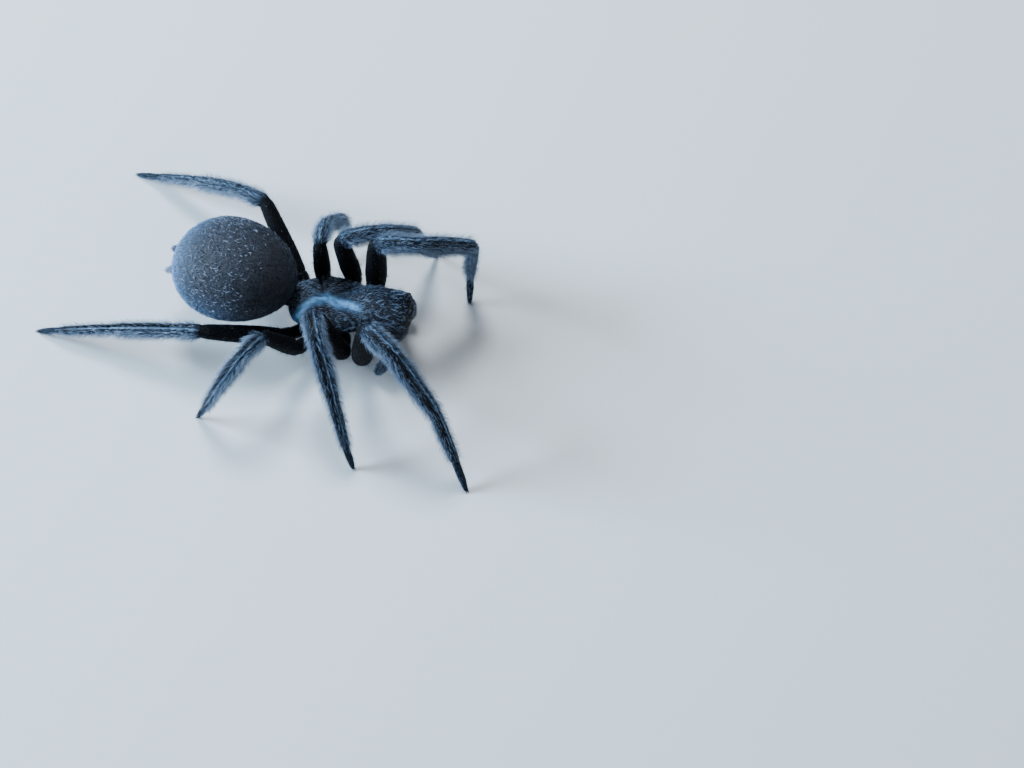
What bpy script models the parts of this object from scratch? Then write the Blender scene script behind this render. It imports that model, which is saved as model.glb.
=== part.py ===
"""A life-size adult female black house spider standing on a flat floor.

Lengths in the tables are millimetres in the spider's own axes: +X forward,
+Y to its left, +Z up, with the floor at z = 0. The empty "spider" carries the
parts so that the middle of their footprint lies over the world's origin.
"""

from math import acos, asin, cos, degrees, pi, radians, sin, sqrt

import bmesh
import bpy
from mathutils import Matrix, Vector
from mathutils.bvhtree import BVHTree

MM = 0.001

# Clearance between neighbouring parts, and the finer one round the tiny eyes
JOINT_GAP = 0.16
EYE_GAP = 0.08

# Segment lengths of each pair of legs: femur, patella, tibia, metatarsus, tarsus
SEGMENTS = {
    1: (5.1, 2.2, 4.5, 3.75, 2.1),
    2: (4.65, 2.0, 3.85, 3.3, 1.8),
    3: (4.0, 1.75, 2.9, 2.85, 1.6),
    4: (5.0, 1.9, 4.3, 3.6, 1.8),
}

# Thickness of each pair of legs against the first pair
LEG_GIRTH = {1: 1.0, 2: 0.9, 3: 0.78, 4: 0.86}

# Radii of the first pair along the leg
COXA_RADIUS = 0.5
FEMUR_RADIUS = 0.66
PATELLA_RADIUS = 0.58
TIBIA_RADIUS = 0.6
METATARSUS_RADIUS = 0.45
TARSUS_RADIUS = 0.29
CLAW_RADIUS = 0.11

# Where each coxa leaves the body: forward, sideways and up
COXA_ROOTS = {
    1: (1.7, 1.1, 1.95),
    2: (0.6, 1.15, 1.95),
    3: (-0.55, 1.15, 1.95),
    4: (-1.65, 1.05, 1.95),
}

# The photographed stance. Each leg has the start of its femur, then the heading
# (0 is forward, +90 is left) and the rise of its segments in degrees. The rise of
# the tarsus is worked out so that its claws reach the floor.
STANCE = {
    "right_leg_1": ((2.03, -2.91, 2.39), (-47, -37, -37, -46, -53), (78, 3, -37, -58)),
    "right_leg_2": ((0.81, -2.85, 2.43), (170, -69, -63, -62, -51), (69, 3, -40, -55)),
    "right_leg_3": ((-2.0, -3.0, 2.6), (-135, -122, -138, -174, -179), (61, 5, -47, -67)),
    "right_leg_4": ((-3.07, -2.16, 2.29), (-167, 178, 178, 180, 176), (15, -15, -17, -17)),
    "left_leg_1": ((1.99, 2.18, 2.8), (-32, 4, 30, 151, -85), (85, 5, -32, -85)),
    "left_leg_2": ((0.51, 2.53, 2.64), (-153, 23, 40, 52, 60), (83, 2, -40, -75)),
    "left_leg_3": ((-1.42, 2.38, 2.41), (-32, 92, 73, 73, -75), (88, -15, -46, -86)),
    "left_leg_4": ((-2.94, 2.3, 2.4), (127, 156, 156, 161, 168), (28, -10, -28, -29)),
}

# Carapace sections from rear to front: x, half width, crown, margin and underside
CARAPACE = (
    (-2.95, 0.45, 3.3, 3.05, 2.85),
    (-2.55, 1.15, 3.6, 3.0, 2.8),
    (-1.8, 1.75, 3.9, 2.95, 2.75),
    (-0.8, 2.1, 4.05, 2.95, 2.75),
    (0.3, 2.0, 4.1, 2.95, 2.75),
    (1.2, 1.6, 4.4, 3.05, 2.8),
    (2.3, 1.46, 4.72, 3.2, 2.85),
    (3.7, 1.36, 4.72, 3.3, 2.9),
    (4.35, 1.12, 4.45, 3.35, 2.95),
    (4.64, 0.78, 4.05, 3.45, 3.1),
)
CARAPACE_FRONT = 4.78

# Abdomen: its middle, length, width, height, and the turns of its long axis
ABDOMEN_MIDDLE = (-6.35, 0.72, 4.65)
ABDOMEN_LENGTH = 8.15
ABDOMEN_WIDTH = 6.7
ABDOMEN_HEIGHT = 5.8
ABDOMEN_EGG = 0.1
ABDOMEN_YAW = -14.0
ABDOMEN_PITCH = -9.0

# Two curved rows of four eyes on the face: sideways, height and radius
EYES = {
    "front_middle": (0.21, 3.78, 0.15),
    "front_side": (0.62, 3.82, 0.13),
    "rear_middle": (0.27, 4.2, 0.13),
    "rear_side": (0.78, 4.12, 0.13),
}

SLOTS = {
    "cuticle": ((0.012, 0.012, 0.014, 1.0), 0.28),
    "leg_slate": ((0.045, 0.055, 0.068, 1.0), 0.5),
    "velvet": ((0.022, 0.023, 0.026, 1.0), 0.75),
    "eye": ((0.01, 0.01, 0.012, 1.0), 0.06),
    "fang": ((0.035, 0.012, 0.008, 1.0), 0.2),
}


def material(slot):
    """Return the slot's material, made at its first use."""
    found = bpy.data.materials.get(slot)
    if found:
        return found
    colour, roughness = SLOTS[slot]
    made = bpy.data.materials.new(slot)
    made.use_nodes = True
    made.diffuse_color = colour
    shader = made.node_tree.nodes["Principled BSDF"]
    shader.inputs["Base Color"].default_value = colour
    shader.inputs["Roughness"].default_value = roughness
    shader.inputs["Metallic"].default_value = 0.0
    return made


def as_object(name, shape):
    """Turn a bmesh into an object, still in its own units."""
    bmesh.ops.recalc_face_normals(shape, faces=shape.faces)
    mesh = bpy.data.meshes.new(name)
    shape.to_mesh(mesh)
    shape.free()
    made = bpy.data.objects.new(name, mesh)
    bpy.context.collection.objects.link(made)
    return made


def finish_node(node, slot):
    """Bring a node from millimetres to metres and give it its material."""
    mesh = node.data
    mesh.transform(Matrix.Scale(MM, 4))
    mesh.materials.append(material(slot))
    for face in mesh.polygons:
        face.use_smooth = True
    node.parent = spider


def add_node(name, shape, slot):
    """Turn a bmesh in millimetres into a finished node."""
    finish_node(as_object(name, shape), slot)


def skin_rings(rings, first_pole, last_pole):
    """Join rings of equal count, and close both ends on a point."""
    shape = bmesh.new()
    loops = [[shape.verts.new(point) for point in ring] for ring in rings]
    count = len(loops[0])
    for near, far in zip(loops, loops[1:]):
        for k in range(count):
            after = (k + 1) % count
            shape.faces.new((near[k], near[after], far[after], far[k]))
    for pole, loop in ((first_pole, loops[0]), (last_pole, loops[-1])):
        tip = shape.verts.new(pole)
        for k in range(count):
            shape.faces.new((tip, loop[k], loop[(k + 1) % count]))
    return shape


def blend_keys(keys, at):
    """Read a table of (position, value) pairs with an eased step between them."""
    if at <= keys[0][0]:
        return keys[0][1]
    for (low, first), (high, second) in zip(keys, keys[1:]):
        if at <= high:
            share = (at - low) / (high - low)
            share = share * share * (3.0 - 2.0 * share)
            return first + (second - first) * share
    return keys[-1][1]


def along(path, distance):
    """Return the point at a distance along a polyline, straight on past its ends."""
    left = distance
    for start, end in zip(path[:-2], path[1:-1]):
        length = (end - start).length
        if left <= length:
            return start + (end - start) * (left / length)
        left -= length
    return path[-2] + (path[-1] - path[-2]) * (left / (path[-1] - path[-2]).length)


def tube(path, girth, side, sides, rings, first_dome, last_dome, bend=0.25):
    """Sweep a round section along a path, with a dome on each end.

    girth is a table of (distance, radius); side is a direction across the path.
    """
    total = sum((end - start).length for start, end in zip(path, path[1:]))
    dome_steps = (0.22, 0.62)
    stops = [(first_dome * (1 - cos(step * pi / 2)), sin(step * pi / 2)) for step in dome_steps]
    inner = total - first_dome - last_dome
    stops += [(first_dome + inner * k / (rings - 1), 1.0) for k in range(rings)]
    stops += [
        (total - last_dome * (1 - cos(step * pi / 2)), sin(step * pi / 2))
        for step in reversed(dome_steps)
    ]
    loops = []
    for distance, swell in stops:
        reach = min(bend, distance, total - distance)
        before = along(path, distance - reach)
        after = along(path, distance + reach)
        centre = (before + along(path, distance) * 2.0 + after) / 4.0
        ahead = (along(path, distance + 0.05) - along(path, distance - 0.05)).normalized()
        if reach > 0.05:
            ahead = (after - before).normalized()
        across = (side - ahead * side.dot(ahead)).normalized()
        upward = across.cross(ahead)
        radius = blend_keys(girth, distance) * swell
        loops.append([
            centre + across * (radius * cos(turn)) + upward * (radius * sin(turn))
            for turn in (2 * pi * k / sides for k in range(sides))
        ])
    return skin_rings(loops, path[0], path[-1])


def pull_in(path, start_gap, end_gap):
    """Shorten a path at both ends."""
    shorter = list(path)
    shorter[0] = path[0] + (path[1] - path[0]).normalized() * start_gap
    shorter[-1] = path[-1] + (path[-2] - path[-1]).normalized() * end_gap
    return shorter


def setback(radius, heading_in, heading_out):
    """Distance from a joint at which two round ends of this radius stand clear."""
    turn = acos(max(-1.0, min(1.0, heading_in.dot(heading_out))))
    return (radius + JOINT_GAP / 2) / cos(turn / 2) - radius


def polar(yaw, rise, length):
    """Return a vector from its heading and rise in degrees."""
    yaw = radians(yaw)
    rise = radians(rise)
    return Vector((cos(yaw) * cos(rise), sin(yaw) * cos(rise), sin(rise))) * length


def leg_joints(name):
    """Return the seven joints of a leg, from the coxa's root to the claws."""
    pair = int(name[-1])
    forward, sideways, height = COXA_ROOTS[pair]
    start, headings, rises = STANCE[name]
    sign = 1 if name.startswith("left") else -1
    joints = [Vector((forward, sign * sideways, height)), Vector(start)]
    lengths = SEGMENTS[pair]
    for length, yaw, rise in zip(lengths[:4], headings[:4], rises):
        joints.append(joints[-1] + polar(yaw, rise, length))
    drop = joints[-1].z - CLAW_RADIUS * 0.45
    last_rise = -degrees(asin(min(1.0, drop / lengths[4])))
    joints.append(joints[-1] + polar(headings[4], last_rise, lengths[4]))
    return joints


def stand_flat(shape):
    """Cut a shape at the floor and close the cut, which leaves a small flat."""
    bmesh.ops.bisect_plane(
        shape,
        geom=shape.verts[:] + shape.edges[:] + shape.faces[:],
        plane_co=(0, 0, 0),
        plane_no=(0, 0, 1),
        clear_inner=True,
    )
    rim = [edge for edge in shape.edges if edge.is_boundary]
    if rim:
        bmesh.ops.contextual_create(shape, geom=rim)


def build_leg(name):
    """Make the four nodes of a leg."""
    joints = leg_joints(name)
    scale = LEG_GIRTH[int(name[-1])]
    root, hip, knee, bend, wrist, ankle, tip = joints
    ways = [(end - start).normalized() for start, end in zip(joints, joints[1:])]
    lengths = [(end - start).length for start, end in zip(joints, joints[1:])]
    side = (tip - hip).cross(Vector((0, 0, 1))).normalized()

    coxa_radius = COXA_RADIUS * scale
    femur_radius = FEMUR_RADIUS * scale
    patella_radius = PATELLA_RADIUS * scale
    tibia_radius = TIBIA_RADIUS * scale
    meta_radius = METATARSUS_RADIUS * scale
    tarsus_radius = TARSUS_RADIUS * scale

    hip_gap = setback(coxa_radius * 0.9, ways[0], ways[1])
    path = pull_in([root, hip], 0.0, hip_gap)
    length = (path[1] - path[0]).length
    across = ways[0].cross(Vector((0, 0, 1))).normalized()
    girth = (
        (0.0, coxa_radius * 0.9),
        (length * 0.35, coxa_radius),
        (length * 0.62, coxa_radius * 0.82),
        (length * 0.85, coxa_radius * 0.9),
    )
    shape = tube(path, girth, across, 12, 4, coxa_radius * 0.5, coxa_radius * 0.8)
    add_node(name + "_coxa", shape, "cuticle")

    knee_gap = setback(patella_radius * 0.92, ways[1], ways[2])
    path = pull_in([hip, knee], hip_gap, knee_gap)
    length = (path[1] - path[0]).length
    girth = (
        (0.0, femur_radius * 0.86),
        (length * 0.35, femur_radius * 1.04),
        (length * 0.75, femur_radius * 0.98),
        (length, patella_radius * 0.92),
    )
    shape = tube(path, girth, side, 12, 6, femur_radius * 0.9, patella_radius * 0.85)
    add_node(name + "_femur", shape, "cuticle")

    wrist_gap = JOINT_GAP / 2
    path = pull_in([knee, bend, wrist], knee_gap, wrist_gap)
    patella = lengths[2] - knee_gap
    total = patella + lengths[3] - wrist_gap
    girth = (
        (0.0, patella_radius * 0.92),
        (patella * 0.5, patella_radius),
        (patella * 0.85, patella_radius * 0.98),
        (patella, tibia_radius * 0.84),
        (patella + 0.3, tibia_radius * 0.92),
        (patella + lengths[3] * 0.4, tibia_radius),
        (total - 0.3, tibia_radius * 0.82),
        (total, meta_radius * 1.2),
    )
    shape = tube(path, girth, side, 12, 12, patella_radius * 0.9, meta_radius * 0.7, 0.45)
    add_node(name + "_shank", shape, "leg_slate")

    path = pull_in([wrist, ankle, tip], wrist_gap, 0.0)
    meta = lengths[4] - wrist_gap
    total = meta + lengths[5]
    girth = (
        (0.0, meta_radius * 1.05),
        (meta * 0.3, meta_radius * 0.94),
        (meta * 0.9, meta_radius * 0.8),
        (meta, tarsus_radius * 0.95),
        (meta + lengths[5] * 0.45, tarsus_radius),
        (total, CLAW_RADIUS * 1.1),
    )
    shape = tube(path, girth, side, 10, 9, meta_radius * 0.6, CLAW_RADIUS)
    stand_flat(shape)
    add_node(name + "_foot", shape, "leg_slate")


def build_palp(side_name, joints):
    """Make the two nodes of a palp from its joints."""
    root, elbow, bend, wrist, tip = joints
    ways = [(end - start).normalized() for start, end in zip(joints, joints[1:])]
    side = (tip - root).cross(Vector((0, 0, 1))).normalized()
    gap = setback(0.3, ways[0], ways[1])
    path = pull_in([root, elbow], 0.0, gap)
    length = (path[1] - path[0]).length
    girth = ((0.0, 0.3), (length * 0.5, 0.34), (length, 0.3))
    shape = tube(path, girth, side, 10, 4, 0.22, 0.27)
    add_node(side_name + "_palp_femur", shape, "cuticle")
    path = pull_in([elbow, bend, wrist, tip], gap, 0.0)
    lengths = [(end - start).length for start, end in zip(path, path[1:])]
    total = sum(lengths)
    girth = (
        (0.0, 0.3),
        (lengths[0] * 0.6, 0.34),
        (lengths[0] + lengths[1], 0.36),
        (total - lengths[2] * 0.5, 0.4),
        (total, 0.28),
    )
    shape = tube(path, girth, side, 10, 8, 0.27, 0.24)
    add_node(side_name + "_palp_tip", shape, "leg_slate")


def build_carapace():
    """Make the carapace, with a shallow socket for each eye, and the eyes."""
    count = 28
    stations = []
    for first, second in zip(CARAPACE, CARAPACE[1:]):
        for share in (0.0, 0.5):
            stations.append([a + (b - a) * share for a, b in zip(first, second)])
    stations.append(list(CARAPACE[-1]))
    smooth = [stations[0]]
    for before, here, after in zip(stations, stations[1:], stations[2:]):
        smooth.append([(a + 2 * b + c) / 4 for a, b, c in zip(before, here, after)])
    smooth.append(stations[-1])
    rings = []
    for x, half_width, crown, margin, underside in smooth:
        ring = []
        for k in range(count):
            turn = 2 * pi * k / count
            y = half_width * cos(turn)
            if sin(turn) >= 0:
                z = margin + (crown - margin) * sin(turn)
            else:
                z = margin + (margin - underside) * sin(turn)
            ring.append(Vector((x, y, z)))
        rings.append(ring)
    shape = skin_rings(rings, Vector((-3.03, 0, 3.08)), Vector((CARAPACE_FRONT, 0, 3.65)))
    bmesh.ops.recalc_face_normals(shape, faces=shape.faces)
    tree = BVHTree.FromBMesh(shape)
    carapace = as_object("carapace", shape)
    for place, (sideways, height, radius) in EYES.items():
        for side_name, sign in (("left", 1), ("right", -1)):
            origin = Vector((6.36, sign * sideways * 1.6, height + 0.35))
            target = Vector((3.36, sign * sideways * 0.75, height - 0.15))
            hit, normal, _, _ = tree.ray_cast(origin, (target - origin).normalized())
            centre = hit - normal * radius * 0.25
            cut_socket(carapace, centre, radius + EYE_GAP)
            shape = bmesh.new()
            bmesh.ops.create_uvsphere(shape, u_segments=10, v_segments=6, radius=radius)
            bmesh.ops.translate(shape, vec=centre, verts=shape.verts)
            add_node(f"eye_{place}_{side_name}", shape, "eye")
    finish_node(carapace, "cuticle")


def cut_socket(body, centre, radius):
    """Cut a round socket out of a body."""
    shape = bmesh.new()
    bmesh.ops.create_uvsphere(shape, u_segments=12, v_segments=8, radius=radius)
    bmesh.ops.translate(shape, vec=centre, verts=shape.verts)
    cutter = as_object("socket_cutter", shape)
    cut = body.modifiers.new("socket", "BOOLEAN")
    cut.object = cutter
    cut.operation = "DIFFERENCE"
    cut.solver = "EXACT"
    bpy.context.view_layer.update()
    graph = bpy.context.evaluated_depsgraph_get()
    result = bpy.data.meshes.new_from_object(body.evaluated_get(graph))
    body.modifiers.clear()
    body.data = result
    bpy.data.objects.remove(cutter)


def build_lobe(name, middle, size, turn, slot, sides=12, steps=7):
    """Make a closed egg with its long axis along local X."""
    rings = []
    spin = Matrix.Rotation(radians(turn[2]), 3, "Z") @ Matrix.Rotation(radians(turn[1]), 3, "Y")
    half = Vector(size) / 2
    for k in range(1, steps):
        angle = pi * k / steps
        swell = sin(angle)
        rings.append([
            Vector(middle) + spin @ Vector((
                -half.x * cos(angle),
                half.y * swell * cos(2 * pi * s / sides),
                half.z * swell * sin(2 * pi * s / sides),
            ))
            for s in range(sides)
        ])
    first = Vector(middle) - spin @ Vector((half.x, 0, 0))
    last = Vector(middle) + spin @ Vector((half.x, 0, 0))
    add_node(name, skin_rings(rings, first, last), slot)


def build_underside(abdomen):
    """Make the sternum, labium, maxillae and the pedicel up to the abdomen."""
    build_lobe("sternum", (-0.1, 0, 1.9), (4.1, 1.5, 1.15), (0, 0, 0), "cuticle", 16, 9)
    build_lobe("labium", (2.5, 0, 1.72), (0.75, 0.5, 0.5), (0, 10, 0), "cuticle")
    for side_name, sign in (("left", 1), ("right", -1)):
        build_lobe(
            side_name + "_maxilla",
            (2.5, sign * 0.72, 1.7),
            (0.95, 0.5, 0.6),
            (0, 12, -18 * sign),
            "cuticle",
        )
    start = Vector((-2.3, 0, 2.35))
    way = Vector((-1, 0.08, 0.28)).normalized()
    hit, _, _, reach = abdomen.ray_cast(start, way)
    end = hit - way * JOINT_GAP
    girth = ((0.0, 0.3), (reach * 0.5, 0.25), (reach, 0.3))
    shape = tube([start, end], girth, Vector((0, 1, 0)), 12, 4, 0.15, 0.15)
    add_node("pedicel", shape, "cuticle")


def build_jaws():
    """Make the two chelicerae and the fang folded under each."""
    for side_name, sign in (("left", 1), ("right", -1)):
        path = [
            Vector((3.45, sign * 0.64, 2.58)),
            Vector((4.15, sign * 0.62, 2.25)),
            Vector((3.6, sign * 0.5, 0.95)),
        ]
        girth = ((0.0, 0.5), (0.7, 0.56), (1.3, 0.52), (2.1, 0.36))
        shape = tube(path, girth, Vector((0, 1, 0)), 14, 7, 0.35, 0.3, 0.45)
        add_node(side_name + "_chelicera", shape, "cuticle")
        path = [
            Vector((3.55, sign * 0.52, 0.72)),
            Vector((3.25, sign * 0.38, 0.54)),
            Vector((2.85, sign * 0.2, 0.66)),
        ]
        girth = ((0.0, 0.14), (0.3, 0.13), (0.8, 0.045))
        shape = tube(path, girth, Vector((0, 0, 1)), 10, 5, 0.1, 0.05, 0.15)
        add_node(side_name + "_fang", shape, "fang")


def build_abdomen():
    """Make the abdomen and the four large spinnerets, and return its shape."""
    sides = 30
    steps = 16
    middle = Vector(ABDOMEN_MIDDLE)
    spin = Matrix.Rotation(radians(ABDOMEN_YAW), 3, "Z")
    spin = spin @ Matrix.Rotation(radians(ABDOMEN_PITCH), 3, "Y")
    half = Vector((ABDOMEN_LENGTH, ABDOMEN_WIDTH, ABDOMEN_HEIGHT)) / 2

    def place(angle, turn):
        swell = sin(angle) * (1 - ABDOMEN_EGG * cos(angle))
        return middle + spin @ Vector((
            half.x * cos(angle),
            half.y * swell * cos(turn),
            half.z * swell * sin(turn),
        ))

    rings = [
        [place(pi * k / steps, 2 * pi * s / sides) for s in range(sides)]
        for k in range(1, steps)
    ]
    shape = skin_rings(rings, place(0, 0), place(pi, 0))
    bmesh.ops.recalc_face_normals(shape, faces=shape.faces)
    tree = BVHTree.FromBMesh(shape)
    add_node("abdomen", shape, "velvet")
    back = spin @ Vector((-1, 0, 0))
    for row, angle, turn, length, radius in (
        ("front", 155, 28, 0.6, 0.26),
        ("rear", 165, 52, 0.75, 0.22),
    ):
        for side_name, sign in (("left", 1), ("right", -1)):
            root = place(radians(angle), radians(-90 + sign * turn))
            way = (back * 1.0 + Vector((0, sign * 0.12, -0.55))).normalized()
            start = root + way * 0.16
            path = [start, start + way * length]
            girth = ((0.0, radius), (length * 0.6, radius * 0.85), (length, radius * 0.5))
            shape = tube(path, girth, Vector((0, 0, 1)), 10, 4, radius * 0.5, radius * 0.5)
            add_node(f"spinneret_{row}_{side_name}", shape, "velvet")
    return tree


for old in list(bpy.data.objects):
    bpy.data.objects.remove(old, do_unlink=True)

spider = bpy.data.objects.new("spider", None)
bpy.context.collection.objects.link(spider)

build_carapace()
build_underside(build_abdomen())
build_jaws()
for leg in STANCE:
    build_leg(leg)
build_palp("right", [
    Vector((3.0, -1.4, 2.05)),
    Vector((3.8, -2.1, 2.85)),
    Vector((3.8, -2.45, 2.35)),
    Vector((3.45, -2.6, 1.6)),
    Vector((2.85, -2.8, 0.44)),
])
build_palp("left", [
    Vector((3.0, 1.35, 2.05)),
    Vector((3.75, 1.75, 2.25)),
    Vector((4.2, 1.65, 1.95)),
    Vector((4.3, 1.45, 1.25)),
    Vector((4.0, 1.2, 0.44)),
])

corners = [
    vertex.co for node in bpy.data.objects if node.type == "MESH" for vertex in node.data.vertices
]
middle_x = (min(c.x for c in corners) + max(c.x for c in corners)) / 2
middle_y = (min(c.y for c in corners) + max(c.y for c in corners)) / 2
spider.location = (-middle_x, -middle_y, 0)
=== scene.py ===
"""Dress a life-size black house spider: skin, short fur, eyes, fangs and claws.

Lengths are millimetres in the spider's own axes, +X forward, +Y to its left and +Z
up from the floor, as in the frame, and angles are degrees. Each limb or region of
the body is a surface, read by a place along it and a turn round it. The surface
shapes its skin and roots its fur.
"""

from math import ceil, cos, pi, radians, sin, tan

import bpy
import numpy as np
from mathutils import Matrix, Vector


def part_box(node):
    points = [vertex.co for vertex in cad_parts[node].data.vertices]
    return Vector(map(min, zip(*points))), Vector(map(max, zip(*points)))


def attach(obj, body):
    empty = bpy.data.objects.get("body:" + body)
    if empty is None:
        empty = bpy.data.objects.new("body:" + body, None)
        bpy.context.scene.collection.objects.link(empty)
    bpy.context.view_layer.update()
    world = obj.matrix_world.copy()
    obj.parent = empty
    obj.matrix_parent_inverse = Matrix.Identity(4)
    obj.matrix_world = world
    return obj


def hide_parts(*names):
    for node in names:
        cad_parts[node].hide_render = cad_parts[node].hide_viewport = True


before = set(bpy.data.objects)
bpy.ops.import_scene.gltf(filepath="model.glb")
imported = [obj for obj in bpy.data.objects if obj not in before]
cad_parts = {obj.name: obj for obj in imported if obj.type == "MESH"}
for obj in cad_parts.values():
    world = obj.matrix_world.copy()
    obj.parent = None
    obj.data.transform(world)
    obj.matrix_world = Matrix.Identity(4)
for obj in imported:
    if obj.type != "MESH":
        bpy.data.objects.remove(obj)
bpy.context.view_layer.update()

MM = 0.001
SEED = 14
CARAPACE_FRONT = 4.78
CARAPACE_REAR = -3.03

# The spider's own axes start under its carapace, so the frame's shift is read there
carapace_low, carapace_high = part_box("carapace")
SHIFT = np.array([
    carapace_high.x - CARAPACE_FRONT * MM,
    (carapace_low.y + carapace_high.y) / 2,
    0.0,
])

# Segment lengths of each pair of legs: femur, patella, tibia, metatarsus, tarsus
SEGMENTS = {
    1: (5.1, 2.2, 4.5, 3.75, 2.1),
    2: (4.65, 2.0, 3.85, 3.3, 1.8),
    3: (4.0, 1.75, 2.9, 2.85, 1.6),
    4: (5.0, 1.9, 4.3, 3.6, 1.8),
}
LEG_GIRTH = {1: 1.0, 2: 0.9, 3: 0.78, 4: 0.86}
COXA_ROOTS = {
    1: (1.7, 1.1, 1.95),
    2: (0.6, 1.15, 1.95),
    3: (-0.55, 1.15, 1.95),
    4: (-1.65, 1.05, 1.95),
}

# The stance of each leg: the start of its femur, then the heading of its five
# segments and the rise of the first four. The tarsus drops as far as the floor.
STANCE = {
    "right_leg_1": ((2.03, -2.91, 2.39), (-47, -37, -37, -46, -53), (78, 3, -37, -58)),
    "right_leg_2": ((0.81, -2.85, 2.43), (170, -69, -63, -62, -51), (69, 3, -40, -55)),
    "right_leg_3": ((-2.0, -3.0, 2.6), (-135, -122, -138, -174, -179), (61, 5, -47, -67)),
    "right_leg_4": ((-3.07, -2.16, 2.29), (-167, 178, 178, 180, 176), (15, -15, -17, -17)),
    "left_leg_1": ((1.99, 2.18, 2.8), (-32, 4, 30, 151, -85), (85, 5, -32, -85)),
    "left_leg_2": ((0.51, 2.53, 2.64), (-153, 23, 40, 52, 60), (83, 2, -40, -75)),
    "left_leg_3": ((-1.42, 2.38, 2.41), (-32, 92, 73, 73, -75), (88, -15, -46, -86)),
    "left_leg_4": ((-2.94, 2.3, 2.4), (127, 156, 156, 161, 168), (28, -10, -28, -29)),
}
TIP_HEIGHT = 0.05

# Skin radii of the first pair by joint mark. A whole mark is a joint, from 0 at the
# coxa's root to 6 at the claws, and the rest of it is the share of the next segment.
LEG_PROFILE = (
    (0.0, 0.44), (0.35, 0.5), (0.6, 0.48), (0.66, 0.43), (0.72, 0.56), (0.92, 0.6),
    (1.0, 0.54), (1.05, 0.63), (1.3, 0.69), (1.7, 0.62), (1.93, 0.54), (2.0, 0.46),
    (2.1, 0.51), (2.5, 0.53), (2.93, 0.48), (3.0, 0.4), (3.03, 0.46), (3.35, 0.53),
    (3.8, 0.47), (3.97, 0.4), (4.0, 0.31), (4.03, 0.36), (4.3, 0.38), (4.8, 0.32),
    (4.97, 0.28), (5.0, 0.2), (5.04, 0.24), (5.5, 0.24), (5.85, 0.17), (6.0, 0.11),
)
LEG_BENDS = (0.3, 0.5, 0.35, 0.3, 0.3)
LEG_ENDS = (0.3, 0.12)
LEG_SIDES = 28
LEG_HAIRS = 12000

# Stretches of marks over which a leg changes: its coat begins, its bare coxa ends,
# its femur's black gives way to fur at the knee, and it slims at its last lengths
COAT_STARTS = (0.3, 0.6)
COXA_ENDS = (0.8, 1.1)
KNEE = (1.95, 2.15)
METATARSUS = (3.9, 4.2)
TARSUS = (4.9, 5.2)

# The turn at which the top of any surface lies
TOP_TURN = 0.25

# Half width of the dark band along the top of a leg, in turns: broad on the right
# legs, a line on the left ones
DARK_BAND = {"right": 0.085, "left": 0.035}
FLANK_LINE = 0.17
FLANK_LINE_WIDTH = 0.012
FLANK_LINE_DEPTH = 0.8
# Where the painted highlight line lies along the dark band, as a share of its half width, and its
# width in turns
HIGHLIGHT_LINE_SHARE = 0.55
HIGHLIGHT_LINE_WIDTH = 0.011
JOINT_BLACK_WIDTH = 0.09

# The hairs of a leg: the share that lies along it, and the size, lift and swirl of
# those and of the fringe
LYING_SHARE = 0.64
LYING_FEMUR_LENGTH = 0.12
LYING_MORE_LENGTH = 0.15
LYING_WIDTH = 0.024
LYING_LIFT = 13.0
LYING_LIFT_SPREAD = 6.0
LYING_SWIRL = 8.0
PALE_ROWS = 11.0
FRINGE_LENGTH = 0.64
FRINGE_WIDTH = 0.015
FRINGE_LIFT = 50.0
FRINGE_LIFT_SPREAD = 10.0
FRINGE_SWIRL = 12.0

PALP_PROFILE = (
    (0.0, 0.24), (0.5, 0.3), (0.95, 0.27), (1.0, 0.23), (1.1, 0.28), (1.6, 0.31),
    (2.0, 0.25), (2.1, 0.3), (2.6, 0.33), (2.97, 0.28), (3.0, 0.23), (3.06, 0.31),
    (3.5, 0.34), (4.0, 0.22),
)
PALP_BENDS = (0.25, 0.2, 0.2)
PALP_ENDS = (0.15, 0.14)
PALPS = {
    "right": (
        (3.0, -1.4, 2.05), (3.8, -2.1, 2.85), (3.8, -2.45, 2.35), (3.45, -2.6, 1.6),
        (2.85, -2.8, 0.46),
    ),
    "left": (
        (3.0, 1.35, 2.05), (3.75, 1.75, 2.25), (4.2, 1.65, 1.95), (4.3, 1.45, 1.25),
        (4.0, 1.2, 0.46),
    ),
}

# Carapace sections: x, half width, crown, margin and underside
CARAPACE = (
    (-3.03, 0.95, 3.5, 3.02, 2.84),
    (-2.5, 1.3, 3.7, 3.0, 2.8),
    (-1.8, 1.74, 3.9, 2.96, 2.78),
    (-0.8, 2.06, 4.03, 2.95, 2.78),
    (0.3, 1.94, 4.1, 2.97, 2.78),
    (1.2, 1.58, 4.4, 3.05, 2.82),
    (2.3, 1.45, 4.7, 3.2, 2.88),
    (3.7, 1.34, 4.7, 3.3, 2.92),
    (4.78, 1.2, 4.45, 3.4, 3.0),
)
CARAPACE_RINGS = 96
CARAPACE_SAMPLES = 400
CARAPACE_BLUR = 49
CARAPACE_REAR_DOME = 0.55
CARAPACE_FRONT_DOME = 0.5
CARAPACE_SQUARENESS = 0.86

# Furrows of the carapace in plan: start, end, width and depth. The first is the
# fovea, the second parts the head from the thorax, and the rest are radial.
FURROWS = (
    ((-1.25, 0.0), (-0.75, 0.0), 0.1, 0.2),
    ((-0.35, 0.25), (1.45, 1.35), 0.14, 0.13),
    ((-0.95, 0.35), (-2.3, 1.1), 0.13, 0.06),
    ((-0.95, 0.35), (-1.5, 1.75), 0.13, 0.06),
    ((-0.95, 0.35), (-0.5, 1.9), 0.13, 0.06),
    ((-0.95, 0.35), (0.35, 1.75), 0.13, 0.06),
)
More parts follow.
